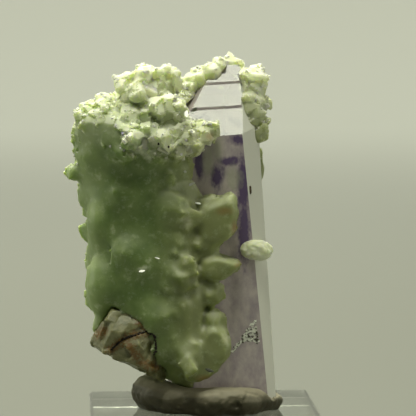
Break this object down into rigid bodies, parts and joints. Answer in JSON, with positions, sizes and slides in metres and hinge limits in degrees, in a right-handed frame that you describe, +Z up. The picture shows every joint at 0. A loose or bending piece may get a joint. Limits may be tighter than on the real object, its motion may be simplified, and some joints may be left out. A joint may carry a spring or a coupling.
{
  "type": "amethyst crystal with prehnite on a display base",
  "caption": "Tall stepped amethyst crystal, 58 mm high, with pale green prehnite along one side, held by a putty roll on a 38.1 mm square clear acrylic base.",
  "frame": {"origin": "centre of the base's underside", "axes": "+Z up; +X to the right of a viewer who looks at the big stepped front face; +Y away from that viewer"},
  "size_m": [0.0434, 0.04, 0.0692],
  "materials": {
    "amethyst": "glossy growth faces, purple in zones",
    "prehnite": "translucent, frosted by small crystals",
    "stained_quartz": "cracked and stained with iron rust",
    "putty": "matte, pressed and creased by hand",
    "acrylic": "clear, polished"
  },
  "bodies": {
    "root": {"amethyst_crystal": "amethyst", "prehnite_mass": "prehnite", "prehnite_bud": "prehnite", "rusty_quartz": "stained_quartz", "mounting_putty": "putty", "display_base": "acrylic"}
  },
  "joints": []
}
